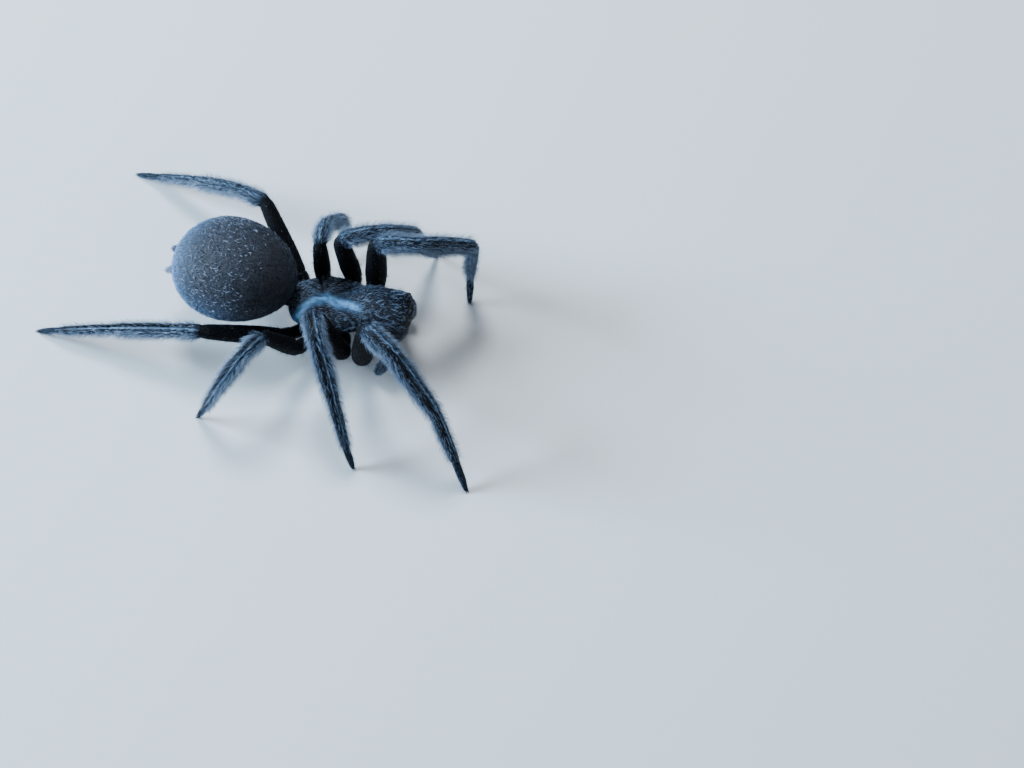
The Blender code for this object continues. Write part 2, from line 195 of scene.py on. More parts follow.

# The band of painted blue sheen on the carapace: places from its rear to its front,
# how far right of the middle it lies there, and its half width
SHEEN_BAND_PLACES = (-2.9, -2.5, -2.07, -1.4, -0.7, 0.1, 0.85, 1.4)
SHEEN_BAND_LINE = (1.9, 1.5, 0.95, 0.22, 0.0, 0.28, 0.42, 0.66)
SHEEN_BAND_WIDTH = (0.5, 0.45, 0.34, 0.28, 0.3, 0.26, 0.22, 0.2)

EYE_PLACES = ("front_middle", "front_side", "rear_middle", "rear_side")
FACE_START = 3.0
EYE_GRID = 200
EYE_SINK = 0.2
EYE_RIM_RISE = 0.25
EYE_RIM_REACH = 1.03
EYE_RIM_RADIUS = 0.026
EYE_RIDGE = 0.035

# The abdomen: its skin, and the shell of its solid that the spinnerets stand on
ABDOMEN_MIDDLE = (-6.35, 0.72, 4.65)
ABDOMEN_SHELL = (8.15, 6.7, 5.8)
ABDOMEN_SIZE = (8.0, 6.55, 5.66)
ABDOMEN_EGG = 0.1
ABDOMEN_YAW = -14.0
ABDOMEN_PITCH = -9.0
ABDOMEN_RINGS = 48

# Spinnerets: row, place along the shell and turn from its foot in degrees, length and
# radius, then the profile as shares of that radius
SPINNERETS = (
    ("front", 155, 28, 0.6, 0.25),
    ("rear", 165, 52, 0.75, 0.21),
)
SPINNERET_PROFILE = (
    (0.0, 1.0), (0.5, 1.0), (0.92, 0.82), (1.0, 0.66), (1.1, 0.72), (2.0, 0.45),
)
SPINNERET_FALL = -0.55
SPINNERET_SPLAY = 0.12
SPINNERET_ROOT = 0.1
SPINNERET_OUT = 0.16
SPINNERET_JOINT = 0.6
SPINNERET_TIP_OUT = 0.14
SPINNERET_BEND = 0.1
SPINNERET_ENDS = (0.08, 0.1)

# The tubercle above them: places along the shell and how far out, and radii by mark
TUBERCLE_PLACES = ((2.92, -0.2), (2.98, 0.16), (3.0, 0.3))
TUBERCLE_PROFILE = ((0.0, 0.2), (1.0, 0.16), (2.0, 0.08))
TUBERCLE_ENDS = (0.08, 0.08)

# Jaws and fangs of the left side: their joints, and radii by joint mark
CHELICERA_JOINTS = ((3.4, 0.56, 2.75), (4.04, 0.56, 2.62), (3.65, 0.5, 0.95))
CHELICERA_PROFILE = ((0.0, 0.47), (0.6, 0.5), (0.9, 0.52), (1.4, 0.48), (1.85, 0.37), (2.0, 0.3))
CHELICERA_BEND = 0.6
CHELICERA_ENDS = (0.3, 0.25)
FANG_JOINTS = ((3.56, 0.52, 0.84), (3.25, 0.38, 0.54), (2.82, 0.19, 0.66))
FANG_PROFILE = ((0.0, 0.15), (0.6, 0.135), (1.3, 0.09), (2.0, 0.015))
FANG_BEND = 0.5
FANG_ENDS = (0.1, 0.02)

# Plates of the underside: name, middle, size, yaw, pitch, rings and hairs
UNDERSIDE = (
    ("sternum", (-0.1, 0, 1.9), (4.0, 1.42, 1.08), 0, 0, 32, 1800),
    ("labium", (2.5, 0, 1.72), (0.72, 0.47, 0.47), 0, 10, 24, 250),
    ("left_maxilla", (2.5, 0.72, 1.7), (0.92, 0.47, 0.57), -18, 12, 24, 450),
    ("right_maxilla", (2.5, -0.72, 1.7), (0.92, 0.47, 0.57), 18, 12, 24, 450),
)

PEDICEL_START = (-2.2, 0.0, 2.32)
PEDICEL_WAY = (-1.0, 0.08, 0.28)
PEDICEL_OVERLAP = 0.25
PEDICEL_PROFILE = ((0.0, 0.29), (0.6, 0.2), (1.4, 0.2), (2.0, 0.28))
PEDICEL_BEND = 0.1
PEDICEL_ENDS = (0.1, 0.1)

# Claws: how far the root stands behind and beside the leg's tip, then how far the top
# and the tip stand ahead of the root and beside it, with the top's rise and the tip's
# height over the floor
CLAW_BACK = 0.06
CLAW_ASIDE = 0.045
CLAW_TOP = (0.12, 0.02, 0.05)
CLAW_TIP = (0.25, 0.03, 0.02)
CLAW_PROFILE = ((0.0, 0.045), (1.0, 0.035), (2.0, 0.008))
CLAW_BEND = 0.06
CLAW_ENDS = (0.02, 0.01)

# A limb's path and rings: the step of its points, how a joint is rounded, how its
# radius is softened, and where the rings of its skin stand
PATH_STEP = 0.02
CORNER_POINTS = 11
CORNER_SPREAD = 1.3
CORNER_MARGIN = 0.03
CORNER_LIMIT = 0.4
RADIUS_BLUR = (0.1, 0.25, 0.3, 0.25, 0.1)
SIDE_MARK = 2.3
RING_STEP = 0.16
JOINT_RING_STEP = 0.045
JOINT_RINGS = 4
DOME_RINGS = (0.03, 0.12, 0.28, 0.5, 0.75, 1.0)
RING_GAP = 0.03
DOME_RING_GAP = 0.006
NUDGE = 1e-4
SMOOTHING = 1

# A hair: two triangles of corners and a tip, its ten faces, how far along it each
# corner stands, and its patch of the map
HAIR_CORNERS = 7
HAIR_FACES = np.array((
    (0, 2, 1), (0, 1, 4), (0, 4, 3), (1, 2, 5), (1, 5, 4),
    (2, 0, 3), (2, 3, 5), (3, 4, 6), (4, 5, 6), (5, 3, 6),
))
HAIR_REACH = np.array((0.0, 0.0, 0.0, 0.5, 0.5, 0.5, 1.0))
HAIR_PATCH = np.array((
    (-0.0013, -0.0015), (0.0, -0.0015), (0.0013, -0.0015),
    (-0.0013, 0.0), (0.0, 0.0), (0.0013, 0.0), (0.0, 0.0015),
))
HAIR_ROOT_DEPTH = 0.02
HAIR_ROOT_GIRTH = 0.5
HAIR_MIDDLE_GIRTH = 0.38
HAIR_LOWEST = 0.00001
HAIR_POOL = 5
MAP_EDGE = 0.001

# Camera: where it stands in the spider's axes, its heading, fall and width of view
CAMERA_PLACE = (20.33, -61.08, 112.34)
CAMERA_AZIMUTH = 8.81
CAMERA_ELEVATION = 62.0
CAMERA_VIEW = 28.0
CAMERA_SENSOR = 36.0
CAMERA_NEAR = 0.005
CAMERA_FAR = 10.0

# Lamps: name, place in metres, width, power and colour
LAMPS = (
    ("sky", (-0.25, 0.0, 0.11), 0.14, 3.2, (0.56, 0.78, 1.0)),
    ("key", (-0.03, 0.14, 0.25), 0.09, 1.0, (0.8, 0.9, 1.0)),
    ("fill", (0.2, -0.16, 0.2), 0.2, 0.2, (0.9, 0.95, 1.0)),
)
WORLD_COLOUR = (0.7, 0.82, 1.0)
WORLD_STRENGTH = 0.16
FLOOR_SIZE = 3.0
FLOOR_COLOUR = (0.66, 0.66, 0.66)
FLOOR_ROUGHNESS = 0.9

BLACK = (0.0025, 0.0025, 0.0035)
PATCH_SCALE = 1600.0
BUMP_DEPTH = 0.00003


def polar(yaw, rise, length):
    """Return a vector from its heading and rise."""
    yaw = radians(yaw)
    rise = radians(rise)
    return np.array([cos(yaw) * cos(rise), sin(yaw) * cos(rise), sin(rise)]) * length


def unit(vectors):
    """Scale a vector, or each row of an array, to length one."""
    return vectors / np.maximum(np.linalg.norm(vectors, axis=-1, keepdims=True), 1e-9)


def mixed(low, high, share):
    """Blend two rows of arrays by a share for each row."""
    return low + (high - low) * share[:, None]


def eased(low, high, place):
    """Return 0 below low, 1 above high, and a smooth step between."""
    share = np.clip((place - low) / (high - low), 0.0, 1.0)
    return share * share * (3.0 - 2.0 * share)


def bell(distance, width):
    """Return a soft peak, 1 high, that falls off over a width."""
    return np.exp(-((distance / width) ** 2))


def dome(distance, reach):
    """Return how full a rounded end is at a distance from its tip."""
    share = np.clip(distance / reach, 0.0, 1.0)
    return np.sqrt(1.0 - (1.0 - share) ** 2)


def groove(x, y, start, end, width):
    """Return a soft valley, 1 deep, along a line in plan."""
    run = np.array(end) - np.array(start)
    share = ((x - start[0]) * run[0] + (y - start[1]) * run[1]) / np.dot(run, run)
    share = np.clip(share, 0.0, 1.0)
    away = np.hypot(x - start[0] - run[0] * share, y - start[1] - run[1] * share)
    return bell(away, width)


def to_frame(points):
    """Bring points from the spider's millimetres into the frame's metres."""
    return points * MM + SHIFT


class Surface:
    """A closed surface: at(along, turn) gives its points, with turn a share of a circle."""

    def directions(self, along, turn):
        """Return points, outward normals, the way along, and the area around them."""
        reach = (self.stops[-1] - self.stops[0]) * NUDGE
        along = np.clip(along, self.stops[0] + 2 * reach, self.stops[-1] - 2 * reach)
        point = self.at(along, turn)
        ahead = self.at(along + reach, turn) - self.at(along - reach, turn)
        round_it = self.at(along, turn + NUDGE) - self.at(along, turn - NUDGE)
        normal = np.cross(ahead, round_it)
        area = np.linalg.norm(normal, axis=1)
        return point, unit(normal), unit(ahead), area / reach

    def unwrap(self, along, turn):
        """Return where a place lies on the skin's own map."""
        rings = np.arange(len(self.stops)) / (len(self.stops) - 1)
        return np.stack([(-turn) % 1.0, np.interp(along, self.stops, rings)], axis=1)


class Tube(Surface):
    """A limb: a round section swept along rounded joints."""

    def __init__(self, joints, bends, profile, scale, first_dome, last_dome):
        joints = [np.array(joint, float) for joint in joints]
        points, marks = self.round_path(joints, bends)
        steps = np.linalg.norm(np.diff(points, axis=0), axis=1)
        travelled = np.concatenate([[0.0], np.cumsum(steps)])
        self.length = travelled[-1]
        self.count = ceil(self.length / PATH_STEP)
        even = np.linspace(0.0, self.length, self.count)
        self.centre = np.stack([np.interp(even, travelled, points[:, axis]) for axis in range(3)], 1)
        self.marks = np.interp(even, travelled, marks)
        ways = unit(np.gradient(self.centre, axis=0))
        self.across = self.carry_side(ways, joints)
        self.up = np.cross(self.across, ways)
        keys = np.array(profile)
        radius = np.interp(self.marks, keys[:, 0], keys[:, 1]) * scale
        padded = np.pad(radius, len(RADIUS_BLUR) // 2, mode="edge")
        radius = np.convolve(padded, RADIUS_BLUR, mode="valid")
        self.radius = radius * dome(even, first_dome) * dome(self.length - even, last_dome)
        self.stops = self.ring_stops(even, first_dome, last_dome)

    def round_path(self, joints, bends):
        """Return points along the joints with rounded corners, and their marks."""
        points = [joints[0]]
        marks = [0.0]
        for joint in range(1, len(joints) - 1):
            here = joints[joint]
            inward = here - joints[joint - 1]
            outward = joints[joint + 1] - here
            in_length = np.linalg.norm(inward)
            out_length = np.linalg.norm(outward)
            bent = np.arccos(np.clip(np.dot(inward, outward) / in_length / out_length, -1, 1))
            wanted = bends[joint - 1] * tan(bent / 2) * CORNER_SPREAD + CORNER_MARGIN
            reach = min(wanted, CORNER_LIMIT * in_length, CORNER_LIMIT * out_length)
            start = here - inward * (reach / in_length)
            end = here + outward * (reach / out_length)
            for share in np.linspace(0.0, 1.0, CORNER_POINTS):
                rest = 1.0 - share
                points.append(rest * rest * start + 2 * share * rest * here + share ** 2 * end)
                before = reach / in_length * rest ** 2
                after = reach / out_length * share ** 2
                marks.append(joint - before + after)
        points.append(joints[-1])
        marks.append(len(joints) - 1.0)
        return np.array(points), np.array(marks)

    def carry_side(self, ways, joints):
        """Carry a sideways direction along the path without twisting it."""
        middle = min(int(np.searchsorted(self.marks, SIDE_MARK)), self.count - 1)
        side = np.cross(joints[-1] - joints[1], (0.0, 0.0, 1.0))
        across = np.zeros_like(ways)
        for first, last, step in ((middle, self.count, 1), (middle, -1, -1)):
            now = side
            for place in range(first, last, step):
                now = unit(now - ways[place] * np.dot(now, ways[place]))
                across[place] = now
        return across

    def ring_stops(self, even, first_dome, last_dome):
        """Place the skin's rings, closer at the joints and on the rounded ends."""
        stops = list(np.arange(0.0, self.length, RING_STEP))
        for joint in range(1, int(self.marks[-1])):
            place = np.interp(joint, self.marks, even)
            stops += [place + JOINT_RING_STEP * ring for ring in range(-JOINT_RINGS, JOINT_RINGS + 1)]
        for share in DOME_RINGS:
            stops += [first_dome * share, self.length - last_dome * share]
        stops = np.sort(np.clip(stops, 0.0, self.length))
        kept = [0.0]
        for stop in stops:
            near_end = min(stop, self.length - stop) < max(first_dome, last_dome)
            if stop - kept[-1] > (DOME_RING_GAP if near_end else RING_GAP):
                kept.append(stop)
        kept[-1] = self.length
        return np.array(kept)

    def at(self, along, turn):
        place = np.clip(along / self.length, 0.0, 1.0) * (self.count - 1)
        low = np.minimum(place.astype(int), self.count - 2)
        share = place - low
        angle = 2 * pi * turn
        across = mixed(self.across[low], self.across[low + 1], share)
        up = mixed(self.up[low], self.up[low + 1], share)
        radius = self.radius[low] + (self.radius[low + 1] - self.radius[low]) * share
        out = across * np.cos(angle)[:, None] + up * np.sin(angle)[:, None]
        return mixed(self.centre[low], self.centre[low + 1], share) + out * radius[:, None]

    def mark(self, along):
        """Return the joint mark at a place along the limb."""
        return np.interp(along, np.linspace(0.0, self.length, self.count), self.marks)


class Carapace(Surface):
    """The domed shield with its furrows, read from its rear to its face."""

    def __init__(self, eyes):
        self.eyes = eyes
        self.stops = CARAPACE_REAR + (CARAPACE_FRONT - CARAPACE_REAR) * (
            0.5 - 0.5 * np.cos(np.linspace(0.0, pi, CARAPACE_RINGS + 1))
        )
        keys = np.array(CARAPACE)
        self.places = np.linspace(CARAPACE_REAR, CARAPACE_FRONT, CARAPACE_SAMPLES)
        weights = np.hanning(CARAPACE_BLUR)
        self.tables = []
        for column in range(1, 5):
            values = np.interp(self.places, keys[:, 0], keys[:, column])
            padded = np.pad(values, CARAPACE_BLUR // 2, mode="reflect", reflect_type="odd")
            self.tables.append(np.convolve(padded, weights / weights.sum(), mode="valid"))

    def at(self, along, turn):
        width, crest, margin, under = (np.interp(along, self.places, t) for t in self.tables)
        rear_end = dome(along - CARAPACE_REAR, CARAPACE_REAR_DOME)
        full = rear_end * dome(CARAPACE_FRONT - along, CARAPACE_FRONT_DOME)
        angle = 2 * pi * turn
        aside = np.cos(angle)
        rise = np.sin(angle)
        y = -width * full * np.sign(aside) * np.abs(aside) ** CARAPACE_SQUARENESS
        lift = np.sign(rise) * np.abs(rise) ** CARAPACE_SQUARENESS
        z = margin + np.where(lift > 0, crest - margin, margin - under) * full * lift
        sunk = self.furrows(along, np.abs(y)) * eased(0.05, 0.5, lift)
        z = z - sunk
        x = along.copy()
        for centre, radius, _ in self.eyes:
            away = np.sqrt((x - centre[0]) ** 2 + (y - centre[1]) ** 2 + (z - centre[2]) ** 2)
            ridge = bell(away - radius * 1.25, radius * 0.35) * EYE_RIDGE
            x = x + ridge
        return np.stack([x, y, z], axis=1)

    def furrows(self, x, y):
        """Return how deep the furrows are."""
        depth = 0.0
        for start, end, width, deepest in FURROWS:
            depth = depth + deepest * groove(x, y, start, end, width)
        return depth


class Lobe(Surface):
    """An egg with its long axis turned in plan and tipped, read along that axis."""

    def __init__(self, middle, size, yaw, pitch, egg=0.0, rings=24):
        self.middle = np.array(middle, float)
        self.half = np.array(size, float) / 2
        spin = Matrix.Rotation(radians(yaw), 3, "Z") @ Matrix.Rotation(radians(pitch), 3, "Y")
        self.spin = np.array(spin)
        self.egg = egg
        self.stops = np.linspace(0.0, pi, rings + 1)

    def at(self, along, turn):
        angle = 2 * pi * turn
        swell = np.sin(along) * (1 - self.egg * np.cos(along))
        local = np.stack([
            self.half[0] * np.cos(along),
            self.half[1] * swell * np.cos(angle),
            self.half[2] * swell * np.sin(angle),
        ], axis=1)
        return self.middle + local @ self.spin.T


def skin(name, surface, sides, finish, nodes, region):
    """Shape a sphere's rings onto a surface, tag its regions and smooth it."""
    bpy.ops.object.select_all(action="DESELECT")
    rings = len(surface.stops) - 1
    bpy.ops.mesh.primitive_uv_sphere_add(segments=sides, ring_count=rings, radius=1.0)
    piece = bpy.context.object
    piece.name = name
    mesh = piece.data
    flat = np.empty(len(mesh.vertices) * 3)
    mesh.vertices.foreach_get("co", flat)
    place = flat.reshape(-1, 3)
    height = np.arccos(np.clip(-place[:, 2], -1.0, 1.0)) / pi * rings
    along = surface.stops[np.rint(height).astype(int)]
    turn = (-np.arctan2(place[:, 1], place[:, 0]) / (2 * pi)) % 1.0
    tags = mesh.attributes.new("Region", "FLOAT_COLOR", "POINT")
    tags.data.foreach_set("color", region(surface, along, turn).ravel())
    shaped = to_frame(surface.at(along, turn))
    shaped[:, 2] = np.maximum(shaped[:, 2], 0.0)
    mesh.vertices.foreach_set("co", shaped.ravel())
    mesh.update()
    smooth = piece.modifiers.new("smooth", "SUBSURF")
    smooth.levels = SMOOTHING
    smooth.render_levels = SMOOTHING
    bpy.ops.object.modifier_apply(modifier="smooth")
    bpy.ops.object.shade_smooth()
    settle(piece, finish, nodes)


def settle(piece, finish, nodes):
    """Give a piece its material, its body and the nodes it stands for."""
    piece.data.materials.clear()
    piece.data.materials.append(finish)
    piece.data.name = piece.name
    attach(piece, "root")
    if nodes:
        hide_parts(*nodes)


def plant(surface, count, random, weight):
    """Draw places on a surface, evenly over its area times a weight."""
    pool = count * HAIR_POOL
    along = random.uniform(surface.stops[0], surface.stops[-1], pool)
    turn = random.uniform(0.0, 1.0, pool)
    chance = surface.directions(along, turn)[3]
    if weight:
        chance = chance * weight(surface, along, turn)
    chosen = random.choice(pool, count, replace=False, p=chance / chance.sum())
    return along[chosen], turn[chosen]


def grow(surface, along, turn, length, width, lift, curl, swirl, tone, painted_light=0.0):
    """Return the corners of hairs, with their tones and map places."""
    point, normal, ahead, _ = surface.directions(along, turn)
    side = np.cross(normal, ahead)
    lie = ahead * np.cos(swirl)[:, None] + side * np.sin(swirl)[:, None]
    first = lie * np.cos(lift)[:, None] + normal * np.sin(lift)[:, None]
    second = lie * np.cos(lift - curl)[:, None] + normal * np.sin(lift - curl)[:, None]
    across = unit(np.cross(first, normal))
    rise = np.cross(across, first)
    root = point - normal * HAIR_ROOT_DEPTH
    middle = root + first * (length * 0.5)[:, None]
    tip = middle + second * (length * 0.5)[:, None]
    corners = []
    for centre, girth in ((root, HAIR_ROOT_GIRTH), (middle, HAIR_MIDDLE_GIRTH)):
        for angle in (0.0, 2 * pi / 3, 4 * pi / 3):
            out = across * cos(angle) + rise * sin(angle)
            corners.append(centre + out * (width * girth)[:, None])
    corners.append(tip)
    corners = np.stack(corners, axis=1)
    tags = np.zeros((len(along), HAIR_CORNERS, 4))
    tags[:, :, 0] = tone[:, None]
    tags[:, :, 1] = HAIR_REACH
    # The third tag colours a hair with painted sheen or highlight.
    tags[:, :, 2] = np.reshape(painted_light, (-1, 1))
    tags[:, :, 3] = 1.0
    places = surface.unwrap(along, turn)[:, None, :] + HAIR_PATCH
    return corners, tags, places


def even_coat(surface, count, random, length, lift, tone, width=0.026, weight=None, spread=16.0,
              painted_light=None, shade=None, slim=None):
    """Grow hairs of about one length and lift, over a range of tones.

    The weight says where they are thick, shade how dark they are, and slim how short;
    the painted light map says where painted sheen or highlight colours them.
    """
    along, turn = plant(surface, count, random, weight)
    lengths = length * random.uniform(0.65, 1.25, count)
    lifts = np.radians(np.abs(random.normal(lift, lift * 0.35, count)))
    swirl = np.radians(random.normal(0.0, spread, count))
    tones = tone[0] + (tone[1] - tone[0]) * random.uniform(0.0, 1.0, count) ** 1.8
    widths = np.full(count, width)
    if shade:
        tones *= shade(surface, along, turn)
    if slim:
        lengths *= slim(surface, along, turn)
    # How much painted sheen or highlight each hair carries.
    painted_light_tint = 0.0
    if painted_light:
        painted_light_tint = painted_light(surface, along, turn) * random.uniform(0.6, 1.0, count)
    return grow(surface, along, turn, lengths, widths, lifts, lifts * 0.8, swirl, tones, painted_light_tint)


def coat(name, finish, hairs):
    """Join grown hairs, each with its own share of the map, into one coat piece."""
    corners = to_frame(np.concatenate([grown[0] for grown in hairs]).reshape(-1, 3))
    tags = np.concatenate([grown[1] for grown in hairs]).reshape(-1, 4)
    places = np.concatenate([grown[2] for grown in hairs]).reshape(-1, 2)
    corners[:, 2] = np.maximum(corners[:, 2], HAIR_LOWEST)
    starts = np.arange(len(corners) // HAIR_CORNERS) * HAIR_CORNERS
    faces = (HAIR_FACES[None, :, :] + starts[:, None, None]).reshape(-1, 3)
    mesh = bpy.data.meshes.new(name)
    mesh.vertices.add(len(corners))
    mesh.vertices.foreach_set("co", corners.ravel())
    mesh.loops.add(faces.size)
    mesh.loops.foreach_set("vertex_index", faces.ravel())
    mesh.polygons.add(len(faces))
    mesh.polygons.foreach_set("loop_start", np.arange(len(faces)) * 3)
    mesh.polygons.foreach_set("loop_total", np.full(len(faces), 3))
    mesh.polygons.foreach_set("use_smooth", np.ones(len(faces), dtype=bool))
    mesh.update(calc_edges=True)
    attribute = mesh.attributes.new("Hair", "FLOAT_COLOR", "POINT")
    attribute.data.foreach_set("color", tags.ravel())
    unwrapped = mesh.uv_layers.new(name="OFBake")
    spots = np.clip(places[faces.ravel()], MAP_EDGE, 1.0 - MAP_EDGE)
    unwrapped.data.foreach_set("uv", spots.ravel())
    piece = bpy.data.objects.new(name, mesh)
    bpy.context.collection.objects.link(piece)
    settle(piece, finish, [])


def grain_group():
    """Build the fine grain that every skin shares: a height and a soft mottling."""
    group = bpy.data.node_groups.new("fine_grain", "ShaderNodeTree")
    face = group.interface
    face.new_socket("Grain Size", in_out="INPUT", socket_type="NodeSocketFloat")
    face.new_socket("Patch Size", in_out="INPUT", socket_type="NodeSocketFloat")
    face.new_socket("Height", in_out="OUTPUT", socket_type="NodeSocketFloat")
    face.new_socket("Mottle", in_out="OUTPUT", socket_type="NodeSocketFloat")
    enter = group.nodes.new("NodeGroupInput")
    leave = group.nodes.new("NodeGroupOutput")
    place = group.nodes.new("ShaderNodeTexCoord")
    fine = group.nodes.new("ShaderNodeTexNoise")
    fine.inputs["Detail"].default_value = 5.0
    broad = group.nodes.new("ShaderNodeTexNoise")
    broad.inputs["Detail"].default_value = 3.0
    for noise, size, output in ((fine, "Grain Size", "Height"), (broad, "Patch Size", "Mottle")):
        group.links.new(place.outputs["Object"], noise.inputs["Vector"])
        group.links.new(enter.outputs[size], noise.inputs["Scale"])
        group.links.new(noise.outputs["Fac"], leave.inputs[output])
    return group


def fur_group():
    """Build the colouring that every coat shares, from a hair's tone, tip and its share of painted
    sheen or highlight.
    """
    group = bpy.data.node_groups.new("fur_colour", "ShaderNodeTree")
    face = group.interface
    for name in ("Dark", "Pale", "Tip", "Tint"):
        face.new_socket(name, in_out="INPUT", socket_type="NodeSocketColor")
    face.new_socket("Color", in_out="OUTPUT", socket_type="NodeSocketColor")
    enter = group.nodes.new("NodeGroupInput")
    leave = group.nodes.new("NodeGroupOutput")
    tags = group.nodes.new("ShaderNodeAttribute")
    tags.attribute_name = "Hair"
    parts = group.nodes.new("ShaderNodeSeparateColor")
    group.links.new(tags.outputs["Color"], parts.inputs["Color"])
    reach = group.nodes.new("ShaderNodeMath")
    reach.operation = "MULTIPLY"
    group.links.new(parts.outputs["Red"], reach.inputs[0])
    group.links.new(parts.outputs["Green"], reach.inputs[1])
    body = mix_colour(group, parts.outputs["Red"], enter.outputs["Dark"], enter.outputs["Pale"])
    tipped = mix_colour(group, reach.outputs["Value"], body, enter.outputs["Tip"])
    # The Blue tag mixes in the colour of painted sheen or highlight.
    with_painted_light = mix_colour(group, parts.outputs["Blue"], tipped, enter.outputs["Tint"])
    group.links.new(with_painted_light, leave.inputs["Color"])
    return group


def mix_colour(tree, factor, first, second):
    """Add a colour mix and return its result."""
    mix = tree.nodes.new("ShaderNodeMix")
    mix.data_type = "RGBA"
    tree.links.new(factor, mix.inputs["Factor"])
    for value, socket in ((first, mix.inputs["A"]), (second, mix.inputs["B"])):
        if isinstance(value, tuple):
            socket.default_value = (*value, 1.0)
        else:
            tree.links.new(value, socket)
    return mix.outputs["Result"]


def node_material(name, colour, roughness):
    """Start a material and return it with its tree and its shader."""
    made = bpy.data.materials.new(name)
    made.use_nodes = True
    tree = made.node_tree
    shader = tree.nodes["Principled BSDF"]
    shader.inputs["Base Color"].default_value = (*colour, 1.0)
    shader.inputs["Roughness"].default_value = roughness
    return made, tree, shader


def skin_material(name, furred, bare, mottled, painted_light_tint, rough, gloss, specular, grain, bump):
    """Make a skin whose Region tags part its black and bare stretches, and those coloured blue as
    painted sheen or highlight.
    """
    made, tree, shader = node_material(name, furred, rough)
    shader.inputs["Specular IOR Level"].default_value = specular
    tags = tree.nodes.new("ShaderNodeAttribute")
    tags.attribute_name = "Region"
    parts = tree.nodes.new("ShaderNodeSeparateColor")
    tree.links.new(tags.outputs["Color"], parts.inputs["Color"])
    texture = tree.nodes.new("ShaderNodeGroup")
    texture.node_tree = fine_grain
    texture.inputs["Grain Size"].default_value = grain
    texture.inputs["Patch Size"].default_value = PATCH_SCALE
    patchy = mix_colour(tree, texture.outputs["Mottle"], furred, mottled)
    coloured = mix_colour(tree, parts.outputs["Green"], patchy, bare)
    blackened = mix_colour(tree, parts.outputs["Red"], coloured, BLACK)
    # The Blue tag mixes in the colour of painted sheen or highlight.
    with_painted_light = mix_colour(tree, parts.outputs["Blue"], blackened, painted_light_tint)
    tree.links.new(with_painted_light, shader.inputs["Base Color"])
    roughness = tree.nodes.new("ShaderNodeMix")
    roughness.inputs["A"].default_value = rough
    roughness.inputs["B"].default_value = gloss
    tree.links.new(parts.outputs["Green"], roughness.inputs["Factor"])
    tree.links.new(roughness.outputs["Result"], shader.inputs["Roughness"])
    relief = tree.nodes.new("ShaderNodeBump")
    relief.inputs["Strength"].default_value = bump
    relief.inputs["Distance"].default_value = BUMP_DEPTH
    tree.links.new(texture.outputs["Height"], relief.inputs["Height"])
    tree.links.new(relief.outputs["Normal"], shader.inputs["Normal"])
    return made, shader


def fur_material(name, dark, pale, tip, painted_light_tint, rough, specular):
    """Make a coat's material from its four colours."""
    made, tree, shader = node_material(name, dark, rough)
    colour = tree.nodes.new("ShaderNodeGroup")
    colour.node_tree = fur_colour
    # Its Tint colour is the coat's painted sheen or highlight.
    for socket, value in (("Dark", dark), ("Pale", pale), ("Tip", tip), ("Tint", painted_light_tint)):
        colour.inputs[socket].default_value = (*value, 1.0)
    tree.links.new(colour.outputs["Color"], shader.inputs["Base Color"])
    shader.inputs["Specular IOR Level"].default_value = specular
    return made


def black_cuticle():
    """Make the hard black cuticle: matt, glossier where it is bare, and blue where the carapace's
    sheen band is painted.
    """
    made, _ = skin_material(
        "black_cuticle", furred=(0.006, 0.0065, 0.009), bare=(0.005, 0.005, 0.007),
        mottled=(0.011, 0.013, 0.019), painted_light_tint=(0.2, 0.45, 0.85), rough=0.72, gloss=0.36,
        specular=0.14, grain=22000.0, bump=0.5,
    )
    return made


def slate_leg():
    """Make the slate skin of the legs, with its glossier dark band and the painted highlight lines
    along it.
    """
    made, _ = skin_material(
        "slate_leg", furred=(0.006, 0.009, 0.015), bare=(0.003, 0.003, 0.0045),
        mottled=(0.01, 0.016, 0.027), painted_light_tint=(0.16, 0.3, 0.5), rough=0.75, gloss=0.26,
        specular=0.07, grain=26000.0, bump=0.4,
    )
    return made


def charcoal_velvet():
    """Make the abdomen's charcoal skin, with a faint blue sheen."""
    made, shader = skin_material(
        "charcoal_velvet", furred=(0.006, 0.0065, 0.011), bare=(0.006, 0.006, 0.009),
        mottled=(0.011, 0.012, 0.02), painted_light_tint=(0.02, 0.07, 0.16), rough=0.75, gloss=0.5,
        specular=0.5, grain=16000.0, bump=0.8,
    )
    shader.inputs["Sheen Weight"].default_value = 0.1
    shader.inputs["Sheen Tint"].default_value = (0.45, 0.72, 1.0, 1.0)
    return made


def fang_red():
    """Make the glossy dark red of the fangs."""
    made, _ = skin_material(
        "fang_red", furred=(0.05, 0.012, 0.007), bare=(0.035, 0.009, 0.006),
        mottled=(0.07, 0.02, 0.01), painted_light_tint=(0.02, 0.07, 0.16), rough=0.2, gloss=0.16,
        specular=0.5, grain=12000.0, bump=0.1,
    )
    return made


def eye_lens():
    """Make the polished black of the eyes."""
    made, _ = skin_material(
        "eye_lens", furred=(0.006, 0.006, 0.009), bare=(0.004, 0.004, 0.006),
        mottled=(0.02, 0.016, 0.014), painted_light_tint=(0.02, 0.07, 0.16), rough=0.05, gloss=0.04,
        specular=0.5, grain=6000.0, bump=0.02,
    )
    return made


def slate_fur():
    """Make the fur of the legs and palps: dark slate to a pale grey blue, with a colour for the
    painted highlight along the legs' dark band.
    """
    return fur_material(
        "leg_fur", dark=(0.003, 0.0045, 0.009), pale=(0.07, 0.135, 0.26),
        tip=(0.42, 0.52, 0.64), painted_light_tint=(0.3, 0.52, 0.8), rough=0.45, specular=0.3,
    )


